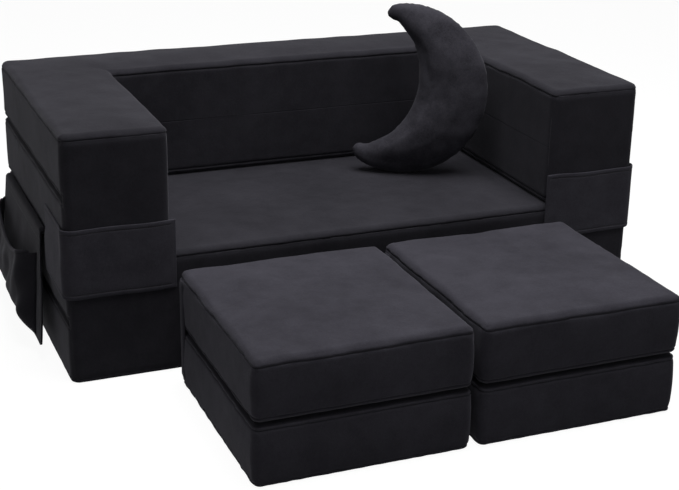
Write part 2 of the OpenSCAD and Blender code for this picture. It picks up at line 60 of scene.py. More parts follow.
MAT_X, MAT_Y = 170.0, -478.0
ZIP_L, MAT_ZIP_L = 700.0, 240.0
# Rounding of upright corners: of the layers, of the ottomans, and between the back and the arms
CORNER_R, MAT_CORNER_R, INNER_CORNER_R = 15.0, 11.0, 4.0
# Rounding of edges: outer ones, at a slit, at a slit that is drawn shut, and at the floor
EDGE_R, SLIT_R, TIGHT_R, FLOOR_R = 10.0, 7.5, 0.25, 4.0
# How far a seam lies from the top, from a slit and from the floor, and how far a slit gapes
TOP_SEAM, SLIT_SEAM, FLOOR_SEAM, SLIT_OPEN = 10.0, 9.0, 6.0, 1.9
# Stitches: their spacing and size, and how far a row of them stays from an edge
STITCH_PITCH, STITCH_SIZE, STITCH_IN = 3.4, (2.4, 0.55, 0.55), 8
TOOTH_PITCH, TOOTH_SIZE = 2.4, (1.7, 1.2, 3.6)

ARMS = [(-HALF_W, -HALF_D, -ARM_IN, HALF_D), (ARM_IN, -HALF_D, HALF_W, HALF_D),
        (-HALF_W, BACK_IN, HALF_W, HALF_D)]
SLAB = [(-HALF_W, -HALF_D, HALF_W, HALF_D)]


# Camera, floor and light

CAMERA_TURNS = (22.24, 20.62, 0.94)
CAMERA_PLACE = (-873.6, -2265.6, 993.2)
CAMERA_LENS, SENSOR_W = 76.02, 36
CAMERA_RANGE = (0.05, 50)
WHITE = (1, 1, 1, 1)
UNSEEN_SKY = 0.08
FLOOR_HALF, FLOOR_DROP = 14.0, 0.0004
FLOOR_GLOW, GLOW_SHARE = 1.18, 0.8
UNSEEN_PAINT, SEEN_PAINT = 0.18, 0.62


def add_object(name, data):
    obj = bpy.data.objects.new(name, data)
    bpy.context.scene.collection.objects.link(obj)
    return obj


def make_camera():
    """Turned to the right, tilted down and slightly rolled, as the photo was taken."""
    yaw, pitch, roll = (math.radians(a) for a in CAMERA_TURNS)
    ahead = Vector((math.sin(yaw) * math.cos(pitch), math.cos(yaw) * math.cos(pitch), -math.sin(pitch)))
    right = Vector((math.cos(yaw), -math.sin(yaw), 0))
    up = right.cross(ahead)
    tilted_right = math.cos(roll) * right + math.sin(roll) * up
    tilted_up = -math.sin(roll) * right + math.cos(roll) * up
    data = bpy.data.cameras.new("camera")
    data.sensor_width, data.lens = SENSOR_W, CAMERA_LENS
    data.clip_start, data.clip_end = CAMERA_RANGE
    camera = add_object("camera", data)
    place = Matrix((tilted_right, tilted_up, -ahead)).transposed().to_4x4()
    place.translation = Vector(CAMERA_PLACE) * MM
    camera.matrix_world = place
    bpy.context.scene.camera = camera


def make_lamp(name, place, size, watts, aim):
    data = bpy.data.lights.new(name, "AREA")
    data.shape, data.size, data.energy = "SQUARE", size, watts
    lamp = add_object(name, data)
    lamp.location = place
    lamp.rotation_mode = "QUATERNION"
    lamp.rotation_quaternion = (Vector(aim) - Vector(place)).to_track_quat("-Z", "Y")


def feed(value, socket):
    """Gives a socket another node's output, or a plain value."""
    if isinstance(value, bpy.types.NodeSocket):
        socket.id_data.links.new(value, socket)
    else:
        socket.default_value = value


def new_material(name):
    """A material, its node tree and its shader."""
    material = bpy.data.materials.new(name)
    material.use_nodes = True
    return material, material.node_tree, material.node_tree.nodes["Principled BSDF"]


def new_sockets(tree, way, kinds):
    for name, kind in kinds.items():
        tree.interface.new_socket(name, in_out=way, socket_type=kind)


def settings(node, values):
    for name, value in values.items():
        node.inputs[name].default_value = value


def calculate(tree, operation, *values):
    """A math node over outputs and numbers."""
    node = tree.nodes.new("ShaderNodeMath")
    node.operation = operation
    for value, socket in zip(values, node.inputs):
        feed(value, socket)
    return node.outputs[0]


def map_range(tree, value, low, high, to_low=0.0, to_high=1.0, smooth=False):
    node = tree.nodes.new("ShaderNodeMapRange")
    node.interpolation_type = "SMOOTHSTEP" if smooth else "LINEAR"
    feed(value, node.inputs["Value"])
    settings(node, {"From Min": low, "From Max": high, "To Min": to_low, "To Max": to_high})
    return node.outputs["Result"]


def seen_ray(tree):
    """1 for rays from the camera, off metal and through glass."""
    path = tree.nodes.new("ShaderNodeLightPath").outputs
    seen = calculate(tree, "MAXIMUM", path["Is Camera Ray"], path["Is Glossy Ray"])
    return calculate(tree, "MAXIMUM", seen, path["Is Transmission Ray"])


def make_studio():
    scene = bpy.context.scene
    scene.view_settings.view_transform = "Standard"
    world = bpy.data.worlds.new("white studio")
    world.use_nodes = True
    scene.world = world
    tree = world.node_tree
    back = tree.nodes["Background"]
    back.inputs["Color"].default_value = WHITE
    feed(map_range(tree, seen_ray(tree), 0, 1, UNSEEN_SKY, 1), back.inputs["Strength"])
    make_lamp("ceiling softbox", place=(0.1, -0.4, 2.3), size=1.6, watts=55, aim=(0, -0.25, 0.2))
    make_lamp("side softbox", place=(-0.7, -2.7, 1.3), size=1.6, watts=1.75, aim=(-0.1, -0.3, 0.2))
    make_floor()


def make_floor():
    """White where it is seen, with the sofa's shadow on it, and dimmer paint to all other rays."""
    mesh = bpy.data.meshes.new("floor")
    corners = [(x * FLOOR_HALF, y * FLOOR_HALF, 0) for x, y in ((-1, -1), (1, -1), (1, 1), (-1, 1))]
    mesh.from_pydata(corners, [], [(0, 1, 2, 3)])
    floor = add_object("floor", mesh)
    floor.location.z = -FLOOR_DROP
    material, tree, _ = new_material("white floor")
    tree.nodes.clear()
    out = tree.nodes.new("ShaderNodeOutputMaterial")
    mix = tree.nodes.new("ShaderNodeMixShader")
    lit = tree.nodes.new("ShaderNodeBsdfDiffuse")
    glow = tree.nodes.new("ShaderNodeEmission")
    settings(glow, {"Color": WHITE, "Strength": FLOOR_GLOW})
    seen = seen_ray(tree)
    feed(map_range(tree, seen, 0, 1, UNSEEN_PAINT, SEEN_PAINT), lit.inputs["Color"])
    feed(calculate(tree, "MULTIPLY", seen, GLOW_SHARE), mix.inputs["Fac"])
    feed(lit.outputs[0], mix.inputs[1])
    feed(glow.outputs[0], mix.inputs[2])
    feed(mix.outputs[0], out.inputs["Surface"])
    mesh.materials.append(material)


# Finishes

# The dark tone that seams, and the painted shade in the slits between layers, are drawn towards, and how far
SEAM_AND_SLIT_SHADE, SEAM_AND_SLIT_DIM = (0.004, 0.004, 0.005, 1), 0.55
VELVET_SHINE = {"Roughness": 0.9, "Specular IOR Level": 0.12, "Sheen Roughness": 0.42,
                "Sheen Tint": (0.6, 0.6, 0.66, 1)}
VELVET_RELIEF, STUFF_RELIEF, THREAD_RELIEF = 0.6, 0.7, 0.00012
# How many radians a wave texture turns over one unit, at scale 1
WAVE_RATE = 20


def add_noise(tree, place, scale, detail, roughness=0.5):
    noise = tree.nodes.new("ShaderNodeTexNoise")
    settings(noise, {"Scale": scale, "Detail": detail, "Roughness": roughness})
    feed(place, noise.inputs["Vector"])
    return noise.outputs["Fac"]


def weigh(tree, parts):
    """The sum of outputs times weights."""
    total = 0
    for output, weight in parts:
        total = calculate(tree, "MULTIPLY_ADD", output, weight, total)
    return total


def mix_colours(tree, share, first, second):
    node = tree.nodes.new("ShaderNodeMix")
    node.data_type = "RGBA"
    feed(share, node.inputs["Factor"])
    feed(first, node.inputs[6])
    feed(second, node.inputs[7])
    return node.outputs[2]


def add_relief(tree, height, strength):
    """Fine relief on a material, from heights in metres."""
    bump = tree.nodes.new("ShaderNodeBump")
    settings(bump, {"Strength": strength, "Distance": 1.0})
    feed(height, bump.inputs["Height"])
    feed(bump.outputs["Normal"], tree.nodes["Principled BSDF"].inputs["Normal"])


def nap_group():
    """Short pile: soft patches where it lies another way, fine fibres, drawn-in seams, and painted shade deep
    in the slits between layers.
    """
    tree = bpy.data.node_groups.new("velvet nap", "ShaderNodeTree")
    new_sockets(tree, "INPUT", {"Deep": "NodeSocketColor", "Raised": "NodeSocketColor",
                                "Patches": "NodeSocketFloat", "Fibres": "NodeSocketFloat"})
    new_sockets(tree, "OUTPUT", {"Color": "NodeSocketColor", "Height": "NodeSocketFloat"})
    given = tree.nodes.new("NodeGroupInput").outputs
    made = tree.nodes.new("NodeGroupOutput").inputs
    place = tree.nodes.new("ShaderNodeTexCoord").outputs["Object"]
    wide = add_noise(tree, place, 6.5, 2)
    patch = add_noise(tree, place, 34, 4, 0.6)
    fleck = add_noise(tree, place, 260, 3, 0.7)
    fibre = add_noise(tree, place, 1100, 2)
    lay = map_range(tree, weigh(tree, [(wide, 0.45), (patch, 0.35), (fleck, 0.2)]), 0.36, 0.64)
    patches = calculate(tree, "MULTIPLY", calculate(tree, "SUBTRACT", lay, 0.5), given["Patches"])
    specks = calculate(tree, "MULTIPLY", map_range(tree, fibre, 0.3, 0.7, -0.5, 0.5), given["Fibres"])
    share = map_range(tree, calculate(tree, "ADD", patches, specks), -0.5, 0.5)
    colour = mix_colours(tree, share, given["Deep"], given["Raised"])
    seam = tree.nodes.new("ShaderNodeAttribute")
    seam.attribute_name = "seam_and_slit_shade"
    # Darker at a seam, and painted shade deep in a slit between layers
    drawn = map_range(tree, seam.outputs["Fac"], 0.5, 0.9, smooth=True)
    dim = map_range(tree, drawn, 0, 1, 0, SEAM_AND_SLIT_DIM)
    feed(mix_colours(tree, dim, colour, SEAM_AND_SLIT_SHADE), made["Color"])
    height = weigh(tree, [(patch, 0.0011), (fleck, 0.00035), (fibre, 0.00022), (drawn, -0.0009)])
    feed(height, made["Height"])
    return tree


def velvet(name, nap, deep, raised, patches=1.0, fibres=0.5, sheen=0.10):
    material, tree, shader = new_material(name)
    group = tree.nodes.new("ShaderNodeGroup")
    group.node_tree = nap
    settings(group, {"Deep": (*deep, 1), "Raised": (*raised, 1), "Patches": patches, "Fibres": fibres})
    feed(group.outputs["Color"], shader.inputs["Base Color"])
    add_relief(tree, group.outputs["Height"], VELVET_RELIEF)
    settings(shader, VELVET_SHINE)
    shader.inputs["Sheen Weight"].default_value = sheen
    return material


def plain_stuff(name, dark, light, scale, relief, roughness, metallic=0.0, threads=None):
    """Foam, fibre, thread and metal: two tones over noise, with a fine grain. Zip tape, and hook
    and loop, have crossing threads of the given size in place of the grain."""
    material, tree, shader = new_material(name)
    settings(shader, {"Roughness": roughness, "Metallic": metallic, "Sheen Weight": 0.1 if threads else 0.0})
    place = tree.nodes.new("ShaderNodeTexCoord").outputs["Object"]
    grain = add_noise(tree, place, scale, 4, 0.6)
    share = map_range(tree, grain, 0.35, 0.65)
    feed(mix_colours(tree, share, (*dark, 1), (*light, 1)), shader.inputs["Base Color"])
    heights = [(grain, relief)]
    if threads:
        heights = [(thread_wave(tree, place, way, threads), THREAD_RELIEF) for way in ("X", "Z")]
    add_relief(tree, weigh(tree, heights), STUFF_RELIEF)
    return material


def thread_wave(tree, place, way, size):
    """Threads side by side, each as wide as 2 pi times the size in millimetres."""
    wave = tree.nodes.new("ShaderNodeTexWave")
    wave.bands_direction = way
    wave.inputs["Scale"].default_value = 1 / (size * MM) / WAVE_RATE
    feed(place, wave.inputs["Vector"])
    return wave.outputs["Fac"]


def make_finishes():
    nap = nap_group()
    cloths = {"velvet": ("charcoal velvet", (0.0155, 0.0148, 0.0190), (0.0285, 0.0274, 0.0340)),
              # The ottomans' velvet is a lighter copy of the sofa's: painted light, for the brighter light
              # that falls on them
              "ottoman_lit_velvet": ("charcoal velvet, ottomans", (0.0270, 0.0257, 0.0330), (0.0490, 0.0470, 0.0590)),
              "band_velvet": ("charcoal velvet, bands", (0.0330, 0.0314, 0.0400), (0.0590, 0.0566, 0.0700)),
              # The pocket's velvet is a darker copy of the sofa's: painted shade, for the shade in the
              # pocket's mouth and round it
              "pocket_velvet": ("charcoal velvet, pocket", (0.006, 0.0057, 0.008), (0.0125, 0.0119, 0.0155)),
              "binding": ("charcoal velvet, binding", (0.0163, 0.0155, 0.0198), (0.0305, 0.0292, 0.0355))}
    finish = {key: velvet(name, nap, deep, raised) for key, (name, deep, raised) in cloths.items()}
    finish["moon_velvet"] = velvet("charcoal velvet, pillow", nap, (0.0205, 0.0195, 0.0250),
                                   (0.0540, 0.0520, 0.0640), patches=1.3, sheen=0.08)
    # Dark and light tone, scale of the grain, relief in metres, roughness, metallic, threads' size
    stuffs = {"thread": ("sewing thread", (0.02, 0.02, 0.023), (0.035, 0.035, 0.038), 1500, 0.0001, 0.6),
              "foam": ("cut foam", (0.62, 0.58, 0.46), (0.80, 0.77, 0.66), 420, 0.0006, 0.95),
              "fill": ("fibre fill", (0.78, 0.78, 0.77), (0.9, 0.9, 0.89), 160, 0.0012, 0.95),
              "zip_tape": ("zip tape", (0.010, 0.010, 0.011), (0.020, 0.020, 0.022), 900, 0, 0.9, 0, 0.9),
              "zip_teeth": ("zip teeth", (0.016, 0.016, 0.018), (0.03, 0.03, 0.032), 600, 0.00005, 0.4),
              "zip_slider": ("enamelled metal", (0.03, 0.03, 0.033), (0.06, 0.06, 0.064), 300, 0.00005,
                             0.35, 0.8),
              "hook_and_loop": ("hook and loop", (0.008, 0.008, 0.009), (0.02, 0.02, 0.021), 900, 0,
                                0.9, 0, 1.6)}
    finish.update({key: plain_stuff(*values) for key, values in stuffs.items()})
    return finish


# Meshes

def piece(name, points, faces, material, seam=None):
    """A smooth closed piece from points in millimetres, with how near each is to a seam or how deep it lies
    in a slit, where the velvet is darkened: a seam's dark line, and painted shade in the slit.
    """
    mesh = bpy.data.meshes.new(name)
    mesh.from_pydata((np.asarray(points, float).reshape(-1, 3) * MM).tolist(), [], faces)
    work = bmesh.new()
    work.from_mesh(mesh)
    bmesh.ops.recalc_face_normals(work, faces=work.faces)
    work.to_mesh(mesh)
    work.free()
    near = mesh.attributes.new("seam_and_slit_shade", "FLOAT", "POINT")
    if seam is not None:
        near.data.foreach_set("value", np.asarray(seam, np.float32).ravel())
    mesh.shade_smooth()
    mesh.materials.append(material)
    obj = add_object(name, mesh)
    return obj


def point_rows(mesh, key="co"):
    """A mesh's places or normals, in rows of three."""
    values = np.zeros(len(mesh.vertices) * 3, np.float32)
    mesh.vertices.foreach_get(key, values)
    return values.reshape(-1, 3)


def smooth(t):
    t = np.clip(t, 0, 1)
    return t * t * (3 - 2 * t)


def fade(distance, start, width):
    """1 up to a distance, then down to 0 over a width."""
    return 1 - smooth((distance - start) / width)


def dent(distance, width):
    """1 on a line, with soft sides."""
    return np.exp(-(distance / width) ** 2)


def nearness(distance, reach):
    """1 on a line, straight down to 0 at its reach."""
    return np.clip(1 - distance / reach, 0, 1)


def ripple(p, size, seed, count=9):
    """Gentle unevenness of about one, with waves near the given size."""
    rng = np.random.default_rng(seed)
    total = np.zeros(len(p))
    for _ in range(count):
        way = rng.normal(size=3)
        way *= 2 * math.pi / size / np.linalg.norm(way) * rng.uniform(0.6, 1.5)
        total += np.sin(p @ way + rng.uniform(0, 2 * math.pi))
    return total / math.sqrt(count)


def ripples(p, seed, *sizes):
    """Ripples of several sizes, each with its height in millimetres."""
    return sum(high * ripple(p, size, seed + k) for k, (size, high) in enumerate(sizes))


def sheet_ripple(grid, size, seed):
    return ripple(grid.reshape(-1, 3), size, seed).reshape(grid.shape[:2])


EDGE_LINES = (0, 1.2, 2.5, 4, 5, 6, 7, 8.5, 10, 11.5, 13, 16, 20, 26)
ZIP_LINES = (-19, -13, -8.5, -4, 0, 4, 8.5, 13, 19)


def span(low, high, coarse, ends=(True, True)):
    """Grid lines from low to high, close together near the ends that are edges."""
    left = [low + e for e in EDGE_LINES] if ends[0] else [low]
    right = [high - e for e in reversed(EDGE_LINES)] if ends[1] else [high]
    count = max(1, round((right[0] - left[-1]) / coarse))
    return left + list(np.linspace(left[-1], right[0], count + 1)[1:-1]) + right


def plan_lines(rects, coarse):
    """Grid lines over a block's plan, each way."""
    if len(rects) == 1:
        (a, b, c, d), = rects
        return [[round(v, 3) for v in span(low, high, coarse)] for low, high in ((a, c), (b, d))]
    xs = set(span(-HALF_W, -ARM_IN, coarse) + span(ARM_IN, HALF_W, coarse))
    ys = set(span(-HALF_D, BACK_IN, coarse) + span(BACK_IN, HALF_D, coarse))
    return sorted(xs | set(span(-ARM_IN, ARM_IN, coarse, (False, False)))), sorted(ys)


def block_grid(xs, ys, zs, rects):
    """Points and faces of the skin of an upright block over some rectangles."""
    ids, points, faces = {}, [], []

    def at(*key):
        if key not in ids:
            ids[key] = len(points)
            points.append((xs[key[0]], ys[key[1]], zs[key[2]]))
        return ids[key]

    across, along, up = len(xs) - 1, len(ys) - 1, len(zs) - 1

    def solid(i, j):
        if not (0 <= i < across and 0 <= j < along):
            return False
        x, y = (xs[i] + xs[i + 1]) / 2, (ys[j] + ys[j + 1]) / 2
        return any(a < x < c and b < y < d for a, b, c, d in rects)

    held = {(i, j) for i in range(across) for j in range(along) if solid(i, j)}
    for i, j in sorted(held):
        faces.append((at(i, j, up), at(i + 1, j, up), at(i + 1, j + 1, up), at(i, j + 1, up)))
        faces.append((at(i, j, 0), at(i, j + 1, 0), at(i + 1, j + 1, 0), at(i + 1, j, 0)))
        for (di, dj), (a, b) in {(-1, 0): ((0, 1), (0, 0)), (1, 0): ((1, 0), (1, 1)),
                                 (0, -1): ((0, 0), (1, 0)), (0, 1): ((1, 1), (0, 1))}.items():
            if (i + di, j + dj) in held:
                continue
            for k in range(up):
                faces.append((at(i + a[0], j + a[1], k), at(i + b[0], j + b[1], k),
                              at(i + b[0], j + b[1], k + 1), at(i + a[0], j + a[1], k + 1)))
    return np.array(points, float), faces


def tight_share(p):
    """1 on the faces round the seat, where the slit between the upper layers is drawn shut."""
    out = np.maximum(np.abs(p[:, 0]) - ARM_IN, p[:, 1] - BACK_IN)
    return fade(out, 14, 8)


def round_block(p, rects, low, high, corner, radius):
    """Rounds a sharp block's upright corners and its edges, each point's edge by its own radius.
    Also gives each point's outward direction and its depth inside the outline."""
    flat = p[:, :2]
    best = np.full(len(p), np.inf)
    core = np.zeros_like(flat)
    depth = np.full(len(p), -np.inf)
    for a, b, c, d in rects:
        x0, y0, x1, y1 = a + corner, b + corner, c - corner, d - corner
        near = np.stack([np.clip(flat[:, 0], x0, x1), np.clip(flat[:, 1], y0, y1)], 1)
        away = np.linalg.norm(flat - near, axis=1)
        inside = np.minimum.reduce([flat[:, 0] - x0, x1 - flat[:, 0], flat[:, 1] - y0, y1 - flat[:, 1]])
        depth = np.maximum(depth, np.where(away > 0, corner - away, corner + inside))
        closer = away < best
        best = np.where(closer, away, best)
        core[closer] = near[closer]
    out = flat - core
    length = np.maximum(np.linalg.norm(out, axis=1), 1e-9)
    core = core + out * np.minimum(1, (corner - radius) / length)[:, None]
    middle = np.column_stack([core, np.clip(p[:, 2], low + radius, high - radius)])
    away = p - middle
    normal = away / np.maximum(np.linalg.norm(away, axis=1), 1e-9)[:, None]
    return middle + radius[:, None] * normal, normal, depth


INNER_CORNER_REACH = 14
# Where a zip's channel ends, past the zip and beside its middle line, each with its soft width
CHANNEL_END, CHANNEL_SIDE = (2, 16), (8.6, 5)


def round_inner_corners(points):
    """Softens the upright corners between the back and the arms."""
    for side in (-1, 1):
        gap = np.hypot(points[:, 0] - side * ARM_IN, points[:, 1] - BACK_IN)
        push = INNER_CORNER_R * (1 - 1 / math.sqrt(2)) * fade(gap, 0, INNER_CORNER_REACH)
        points[:, 0] -= side * push
        points[:, 1] -= push


def zip_channel(face, x, y, z, normal):
    """1 where a zip lies, halfway up a block's back or side."""
    past_end = np.abs(x) - ZIP_L / 2 if face == "back" else np.abs(y) - MAT_ZIP_L / 2
    outward = normal[:, 1 if face == "back" else 0]
    return fade(past_end, *CHANNEL_END) * fade(np.abs(z), *CHANNEL_SIDE) * (outward > 0.5)


CHANNEL_DEEP, GROOVE_DEEP, GROOVE_W = 3.5, 1.2, 1.9
PUCKER_W, PUCKER_HIGH, PUCKER_REACH = 17, 0.5, 9
# How far a seam's dark line reaches, and how dark the painted shade deep in a gaping slit is
SEAM_SIGHT, SLIT_SHADE = 4, 0.85
# Distances that keep a seam's marks off a slit that is drawn shut, and off the flat faces
OFF_SHUT, OFF_FLAT = 60, 40
# Size and height of the waves in a cover's sides, in its free top and in a slack top
SIDE_WAVES = (210, 0.45), (60, 0.22)
TOP_WAVES = (150, 0.55), (46, 0.2)
SLACK_WAVES = (150, 0.6), (60, 0.4)
# Both layers share one wave where the slit between them is drawn shut
SHARED_SEED, SHARED_WAVE = 7, (190, 0.5)


def foam_block(name, rects, low, height, material, lift=None, ends=0.0, sides=0.6, seed=1,
               top_free=False, zip_run="back", coarse=12.0, centre=(0.0, 0.0), soft=1.0,
               radii=(SLIT_R, EDGE_R), seams=(SLIT_SEAM, TOP_SEAM), tight=None, corner=CORNER_R, slack=0.0):
    """A padded cover over a foam slab: rounded, with seams round its top and bottom, puckers
    beside them, slightly uneven sides, and a channel where a zip lies."""
    high, half = low + height, height / 2
    middle = low + half
    zs = {z for e in EDGE_LINES for z in (e, height - e)} | {half + o for o in ZIP_LINES}
    xs, ys = plan_lines(rects, coarse)
    sharp, faces = block_grid(xs, ys, [low + z for z in sorted(zs)], rects)
    shut = np.zeros(len(sharp)) if tight is None else tight_share(sharp)
    shut_below, shut_above = shut * (tight == "below"), shut * (tight == "above")
    radius = np.where(sharp[:, 2] > middle, radii[1] + (TIGHT_R - radii[1]) * shut_above,
                      radii[0] + (TIGHT_R - radii[0]) * shut_below)
    points, normal, depth = round_block(sharp, rects, low, high, corner, radius)
    sideways = np.linalg.norm(normal[:, :2], axis=1)
    upward, downward = np.clip(normal[:, 2], 0, 1), np.clip(-normal[:, 2], 0, 1)
    level = np.clip((sharp[:, 2] - middle) / half, -1, 1)
    belly = np.cos(level * math.pi / 2)

    # Swollen ends, uneven sides and the zip's channel
    x, y = sharp[:, 0] - centre[0], sharp[:, 1] - centre[1]
    half_y = max(abs(d - centre[1]) for _, _, _, d in rects)
    to_end = np.abs(normal[:, 0]) ** 2 * (1 - np.clip(np.abs(y) / half_y, 0, 1) ** 2)
    channel = zip_channel(zip_run, x, y, sharp[:, 2] - middle, normal)
    wave = ripples(sharp, seed, *SIDE_WAVES)
    sides = sides * (1 - 0.7 * np.clip(normal[:, 1], 0, 1))
    uneven = (1 - shut) * (sides * belly + soft * wave * belly ** 0.5) * (1 - channel)
    out = sideways * (ends * belly * to_end + uneven + shut * ripples(sharp, SHARED_SEED, SHARED_WAVE))

    # Seams, which a slit that is drawn shut doesn't show
    off_below = np.abs(sharp[:, 2] - low - seams[0]) + OFF_SHUT * shut_below
    off_above = np.abs(high - seams[1] - sharp[:, 2]) + OFF_SHUT * shut_above
    lower, on_side = off_below < off_above, sideways > 0.3
    to_seam = np.hypot(np.minimum(off_below, off_above), np.where(on_side, 0, OFF_FLAT))
    pucker = ripple(sharp, PUCKER_W, seed + 2) * np.exp(-to_seam / PUCKER_REACH)
    groove = dent(to_seam, GROOVE_W) * np.where(lower, min(1, seams[0] / 8), min(1, seams[1] / 8))
    drawn = PUCKER_HIGH * soft * pucker - GROOVE_DEEP * groove
    points[:, :2] += normal[:, :2] * (out + drawn - CHANNEL_DEEP * channel)[:, None]
    points[:, 2] += normal[:, 2] * drawn * sideways

    # Gaping slits, crown and slack top
    slit_below, slit_above = downward * (radii[0] == SLIT_R), upward * (radii[1] == SLIT_R)
    points[:, 2] += SLIT_OPEN * fade(depth, 0, 35) * (1 - shut) * (slit_below - slit_above)
    points[:, 2] -= shut_below * np.minimum(LAYER_GAP - 0.02, 0.4 * downward)
    if lift is not None:
        points[:, 2] += upward * lift(points[:, 0], points[:, 1], depth)
    if top_free:
        points[:, 2] += upward * soft * smooth(depth / 40) * ripples(sharp, seed + 3, *TOP_WAVES)
    flat = sharp * np.array([1, 1, 0])
    points[:, 2] += slack * smooth(level) * ripples(flat, seed + 5, *SLACK_WAVES)
    if len(rects) > 1:
        round_inner_corners(points)

    near = nearness(to_seam, SEAM_SIGHT) * on_side * np.where(lower, min(1, 0.3 + seams[0] / 14), 1)
    # Painted shade on the lips that turn into a gaping slit, beside the seams' dark lines
    slit_shade_mask = (slit_below + slit_above) * fade(depth, 4, 12) * (1 - shut)
    near = np.maximum(near, SLIT_SHADE * np.clip(1.5 * slit_shade_mask, 0, 1))
    return piece(name, points, faces, material, near)


def crown(high, reach):
    """A top that rises from its edges."""
    return lambda x, y, depth: high * smooth(depth / reach)


def dress(obj, body):
    """Puts a padded cover in its solid's place."""
    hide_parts(body + "_cover")
    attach(obj, body)


def shell(name, mid, normals, thick, material, seam=None):
    """A closed sheet round a grid of middle points, with its thickness at each."""
    rows, cols = mid.shape[:2]
    half = np.broadcast_to(np.asarray(thick, float), (rows, cols))[..., None] / 2
    points = np.concatenate([(mid + normals * half).reshape(-1, 3), (mid - normals * half).reshape(-1, 3)])
    faces, back = [], rows * cols
    for i in range(rows - 1):
        for j in range(cols - 1):
            a, d = i * cols + j, (i + 1) * cols + j
            faces += [(a, a + 1, d + 1, d), (back + d, back + d + 1, back + a + 1, back + a)]
    for i in range(rows - 1):
        for j, turn in ((0, 1), (cols - 1, -1)):
            a, d = i * cols + j, (i + 1) * cols + j
            faces.append((a, d, back + d, back + a)[::turn])
    for j in range(cols - 1):
        for i, turn in ((0, -1), (rows - 1, 1)):
            a, b = i * cols + j, i * cols + j + 1
            faces.append((a, b, back + b, back + a)[::turn])
    near = None if seam is None else np.tile(seam.ravel(), 2)
    return piece(name, points, faces, material, near)


def rim(distance, thickness):
    """Thickness of a sheet that rounds off towards its edge."""
    t = np.clip(distance / (thickness / 2), 0.08, 1)
    return thickness * np.sqrt(1 - (1 - t) ** 2)


def ring(centre, wide, high, sides):
    """Points round an upright ellipse that faces along the sofa's side."""
    turns = np.linspace(0, 2 * math.pi, sides, endpoint=False)
    return [(centre[0] + wide * math.cos(a), centre[1], centre[2] + high * math.sin(a)) for a in turns]


def tube(name, rows, material):
    """A closed tube through rings of points."""
    rings, sides = rows.shape[:2]
    points = np.concatenate([rows.reshape(-1, 3), [rows[0].mean(0)], [rows[-1].mean(0)]])
    faces = []
    for i in range(rings - 1):
        for k in range(sides):
            a, b = i * sides + k, i * sides + (k + 1) % sides
            faces.append((a, b, b + sides, a + sides))
    last = (rings - 1) * sides
    for k in range(sides):
        after = (k + 1) % sides
        faces += [(after, k, rings * sides), (last + k, last + after, rings * sides + 1)]
    return piece(name, points, faces, material)


# Stitches and zip teeth, which follow a line

def link_tree():
    """Small rounded links set along the edges of a mesh."""
    tree = bpy.data.node_groups.new("links along a line", "GeometryNodeTree")
    new_sockets(tree, "INPUT", {"Line": "NodeSocketGeometry", "Pitch": "NodeSocketFloat",
                                "Link size": "NodeSocketVector", "Thread": "NodeSocketMaterial"})
    new_sockets(tree, "OUTPUT", {"Links": "NodeSocketGeometry"})
    nodes = tree.nodes
    given, made = nodes.new("NodeGroupInput").outputs, nodes.new("NodeGroupOutput").inputs
    curve = nodes.new("GeometryNodeMeshToCurve")
    spaced = nodes.new("GeometryNodeResampleCurve")
    spaced.mode = "LENGTH"
    tangent = nodes.new("GeometryNodeInputTangent")
    turned = nodes.new("FunctionNodeAlignRotationToVector")
    turned.axis = "X"
    ball = nodes.new("GeometryNodeMeshUVSphere")
    settings(ball, {"Segments": 6, "Rings": 4, "Radius": 0.5})
    placed = nodes.new("GeometryNodeInstanceOnPoints")
    real = nodes.new("GeometryNodeRealizeInstances")
    coloured = nodes.new("GeometryNodeSetMaterial")
    for source, target in (
            (given["Line"], curve.inputs["Mesh"]),
            (curve.outputs["Curve"], spaced.inputs["Curve"]),
            (given["Pitch"], spaced.inputs["Length"]),
            (spaced.outputs["Curve"], placed.inputs["Points"]),
            (ball.outputs["Mesh"], placed.inputs["Instance"]),
            (tangent.outputs["Tangent"], turned.inputs["Vector"]),
            (turned.outputs["Rotation"], placed.inputs["Rotation"]),
            (given["Link size"], placed.inputs["Scale"]),
            (placed.outputs["Instances"], real.inputs["Geometry"]),
            (real.outputs["Geometry"], coloured.inputs["Geometry"]),
            (given["Thread"], coloured.inputs["Material"]),
            (coloured.outputs["Geometry"], made["Links"])):
        feed(source, target)
    return tree


def run_links(name, tree, lines, pitch, size, material):
    """Links along lines of points in millimetres, as one plain mesh."""
    points, edges = [], []
    for line in lines:
        first = len(points)
        points += [tuple(np.asarray(p, float) * MM) for p in line]
        edges += [(k, k + 1) for k in range(first, len(points) - 1)]
    mesh = bpy.data.meshes.new(name)
    mesh.from_pydata(points, edges, [])
    obj = add_object(name, mesh)
    run = obj.modifiers.new("links", "NODES")
    run.node_group = tree
    keys = {s.name: s.identifier for s in tree.interface.items_tree if s.in_out == "INPUT"}
    run[keys["Pitch"]] = pitch * MM
    run[keys["Link size"]] = tuple(v * MM for v in size)
    run[keys["Thread"]] = material
    made = plain_mesh(obj)
    made.name = name
    made.shade_smooth()
    if not made.materials:
        made.materials.append(material)
    return obj


def plain_mesh(obj):
    """Makes what an object's modifiers give its own mesh, and removes them."""
    graph = bpy.context.evaluated_depsgraph_get()
    made = bpy.data.meshes.new_from_object(obj.evaluated_get(graph), depsgraph=graph)
    obj.modifiers.clear()
    obj.data = made
    return made


CLOTH_FRAMES, CLOTH_PRESSURE, CLOTH_MASS, CLOTH_QUALITY = 20, 4.0, 0.3, 5


